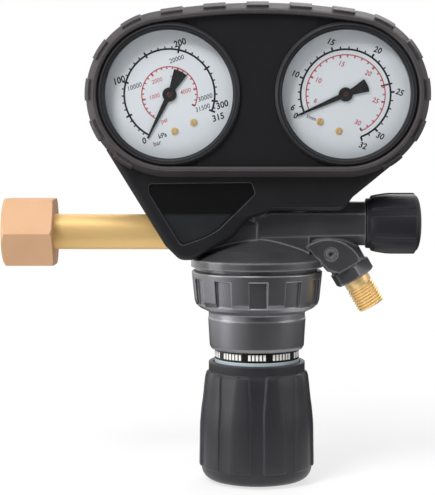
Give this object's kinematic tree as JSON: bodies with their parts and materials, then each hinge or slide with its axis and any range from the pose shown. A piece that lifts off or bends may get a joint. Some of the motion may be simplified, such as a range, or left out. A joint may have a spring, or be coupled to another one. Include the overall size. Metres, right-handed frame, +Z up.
{
  "type": "welding gas cylinder regulator",
  "caption": "Cylinder gas regulator with a shared gauge housing and bumper, union nut inlet, pressure knob, shut-off valve and threaded outlet.",
  "frame": {"origin": "centre of the inlet nut's mouth, on the inlet axis", "axes": "+X along the inlet tube into the regulator, -Y towards the viewer of the dials, +Z up"},
  "size_m": [0.1916, 0.06, 0.2167],
  "materials": {
    "nut_brass": "matte machined brass",
    "tube_brass": "turned brass, satin",
    "polished_brass": "polished brass",
    "inner_brass": "machined brass",
    "sintered_bronze": "sintered bronze",
    "black_coat": "black coated forging, satin",
    "bonnet_coat": "dark grey metallic coat",
    "housing_plastic": "fine textured black moulding",
    "knob_plastic": "satin black moulding",
    "band_plastic": "gloss black band",
    "marking_ring": "pale ring",
    "bumper_rubber": "matte black rubber",
    "inner_rubber": "moulded rubber",
    "steel": "turned steel",
    "spring_steel": "drawn spring wire",
    "seal_plastic": "white sealing plastic",
    "panel_plastic": "dark satin panel",
    "label_black": "bare black plate",
    "case_steel": "black painted steel",
    "dial_white": "pale grey-white dial",
    "pointer_black": "matte black",
    "lens_clear": "clear window"
  },
  "bodies": {
    "body": {"regulator_body": "black_coat", "inlet_stem": "tube_brass", "inlet_filter": "sintered_bronze", "inlet_seal": "seal_plastic", "valve_seat": "inner_brass", "poppet_spring": "spring_steel", "diaphragm": "inner_rubber", "slip_ring": "steel", "range_spring": "spring_steel", "bonnet": "bonnet_coat", "screw_bush": "inner_brass", "neck_band": "band_plastic", "marking_ring": "marking_ring", "outlet_collar": "black_coat", "outlet_nipple": "polished_brass", "channel_plug": "black_coat", "shutoff_gland": "inner_brass", "relief_cap": "inner_brass", "relief_spring": "spring_steel", "gauge_housing": "housing_plastic", "rear_cover": "housing_plastic", "bumper": "bumper_rubber", "centre_panel": "panel_plastic", "label_plate": "label_black", "housing_screws": "steel", "gauge_lenses": "lens_clear", "window_bezels": "housing_plastic", "supply_case": "case_steel", "supply_dial": "dial_white", "supply_socket": "inner_brass", "supply_bourdon_tube": "inner_brass", "supply_movement": "inner_brass", "flow_case": "case_steel", "flow_dial": "dial_white", "flow_socket": "inner_brass", "flow_bourdon_tube": "inner_brass", "flow_movement": "inner_brass"},
    "nut": {"inlet_nut": "nut_brass"},
    "spring_carrier": {"spring_seat": "steel", "thrust_ball": "steel"},
    "knob": {"pressure_knob": "knob_plastic", "adjusting_screw": "steel", "knob_nut": "steel", "knob_cap": "knob_plastic"},
    "valve_train": {"valve_poppet": "inner_brass", "lift_pin": "steel", "diaphragm_plate": "steel"},
    "shutoff_carrier": {"shutoff_pad": "seal_plastic"},
    "shutoff_handle": {"shutoff_spindle": "inner_brass", "shutoff_knob": "knob_plastic", "shutoff_screw": "steel"},
    "relief_plug": {"relief_disc": "inner_brass"},
    "supply_pointer_set": {"supply_pointer": "pointer_black", "supply_pinion": "inner_brass"},
    "supply_sector_set": {"supply_sector": "inner_brass"},
    "supply_link_set": {"supply_link": "steel"},
    "flow_pointer_set": {"flow_pointer": "pointer_black", "flow_pinion": "inner_brass"},
    "flow_sector_set": {"flow_sector": "inner_brass"},
    "flow_link_set": {"flow_link": "steel"}
  },
  "joints": [
    {"name": "nut_spin", "type": "hinge", "parent": "body", "child": "nut", "pos_m": [0, 0, 0], "axis": [1, 0, 0], "continuous": true},
    {"name": "knob_travel", "type": "slide", "parent": "body", "child": "spring_carrier", "axis": [0, 0, 1], "range_m": [0, 0.0056], "deforming": ["range_spring"]},
    {"name": "knob_turn", "type": "hinge", "parent": "spring_carrier", "child": "knob", "pos_m": [0.115, 0, -0.085], "axis": [0, 0, 1], "range_deg": [0, 1344]},
    {"name": "valve_lift", "type": "slide", "parent": "body", "child": "valve_train", "axis": [0, 0, 1], "range_m": [0, 0.0005], "deforming": ["poppet_spring", "diaphragm"]},
    {"name": "shutoff_travel", "type": "slide", "parent": "body", "child": "shutoff_carrier", "axis": [1, 0, 0], "range_m": [0, 0.002]},
    {"name": "shutoff_turn", "type": "hinge", "parent": "shutoff_carrier", "child": "shutoff_handle", "pos_m": [0.15, 0, 0.004], "axis": [1, 0, 0], "range_deg": [0, 720]},
    {"name": "relief_lift", "type": "slide", "parent": "body", "child": "relief_plug", "axis": [0, 1, 0], "range_m": [0, 0.001], "stiffness_N_per_m": 2500, "deforming": ["relief_spring"]},
    {"name": "supply_pointer_turn", "type": "hinge", "parent": "body", "child": "supply_pointer_set", "pos_m": [0.076, 0, 0.062], "axis": [0, 1, 0], "range_deg": [0, 270], "stiffness_Nm_per_rad": 0.0004},
    {"name": "supply_sector_turn", "type": "hinge", "parent": "body", "child": "supply_sector_set", "pos_m": [0.09276, 0, 0.05533], "axis": [0, 1, 0], "range_deg": [-38.58, 0]},
    {"name": "supply_link_turn", "type": "hinge", "parent": "supply_sector_set", "child": "supply_link_set", "pos_m": [0.09747, 0, 0.05905], "axis": [0, 1, 0], "range_deg": [0, 38.58]},
    {"name": "flow_pointer_turn", "type": "hinge", "parent": "body", "child": "flow_pointer_set", "pos_m": [0.154, 0, 0.062], "axis": [0, 1, 0], "range_deg": [0, 270], "stiffness_Nm_per_rad": 0.0004},
    {"name": "flow_sector_turn", "type": "hinge", "parent": "body", "child": "flow_sector_set", "pos_m": [0.16275, 0, 0.04622], "axis": [0, 1, 0], "range_deg": [-38.58, 0]},
    {"name": "flow_link_turn", "type": "hinge", "parent": "flow_sector_set", "child": "flow_link_set", "pos_m": [0.16875, 0, 0.04612], "axis": [0, 1, 0], "range_deg": [0, 38.58]}
  ],
  "couplings": [
    {"joint": "knob_travel", "follows": "knob_turn", "m_per_rad": 0.00023873},
    {"joint": "valve_lift", "follows": "knob_turn", "m_per_rad": 0.000021313},
    {"joint": "shutoff_travel", "follows": "shutoff_turn", "m_per_rad": 0.00015915},
    {"joint": "supply_sector_turn", "follows": "supply_pointer_turn", "ratio": -0.14286},
    {"joint": "supply_link_turn", "follows": "supply_pointer_turn", "ratio": 0.14286},
    {"joint": "flow_sector_turn", "follows": "flow_pointer_turn", "ratio": -0.14286},
    {"joint": "flow_link_turn", "follows": "flow_pointer_turn", "ratio": 0.14286}
  ]
}
